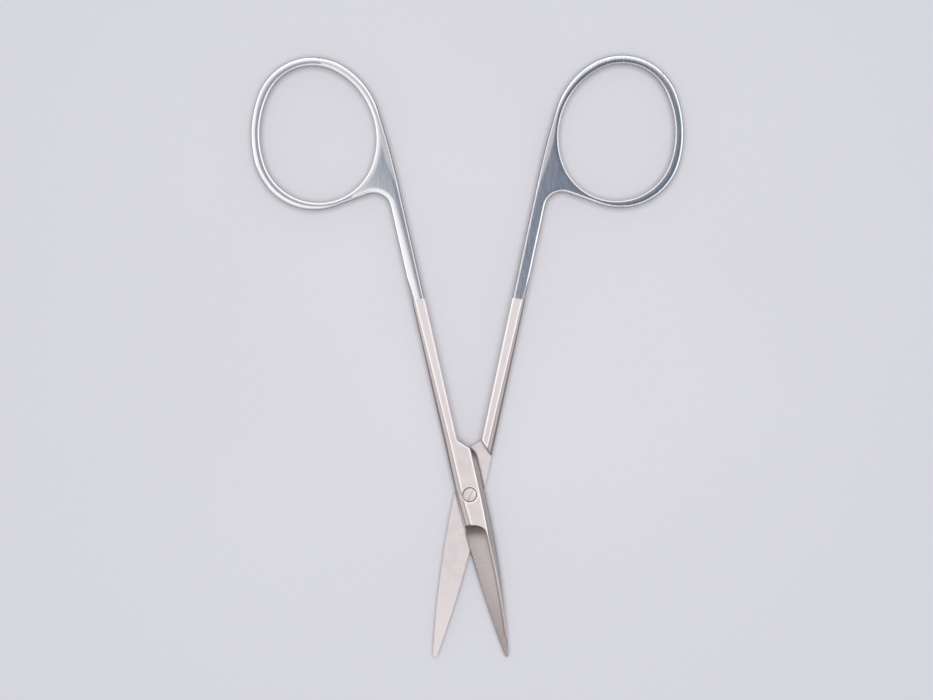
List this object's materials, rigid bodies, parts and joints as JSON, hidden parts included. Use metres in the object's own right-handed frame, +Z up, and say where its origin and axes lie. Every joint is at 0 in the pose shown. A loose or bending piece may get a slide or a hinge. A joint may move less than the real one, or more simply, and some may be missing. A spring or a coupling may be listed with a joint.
{
  "type": "iris scissors",
  "caption": "Slender straight surgical scissors with oval finger rings, a flush slotted screw joint and hollow-ground pointed blades for fine cutting.",
  "frame": {"origin": "on the pivot axis, in the plane that the scissors lie on", "axes": "+Z up out of the flat side with the screw head, +Y from the pivot to the finger rings along the line midway between the halves, blades along -Y"},
  "size_m": [0.0796, 0.1105, 0.0033],
  "materials": {
    "upper_steel": "satin blade and shank, polished ring handle",
    "lower_steel": "satin blade and shank, polished ring handle",
    "screw_steel": "satin, ground flush"
  },
  "bodies": {
    "lower": {"lower_half": "lower_steel", "joint_screw": "screw_steel"},
    "upper": {"upper_half": "upper_steel"}
  },
  "joints": [
    {"name": "pivot", "type": "hinge", "parent": "lower", "child": "upper", "pos_m": [0, 0, 0], "axis": [0, 0, 1], "range_deg": [-25, 65]}
  ]
}
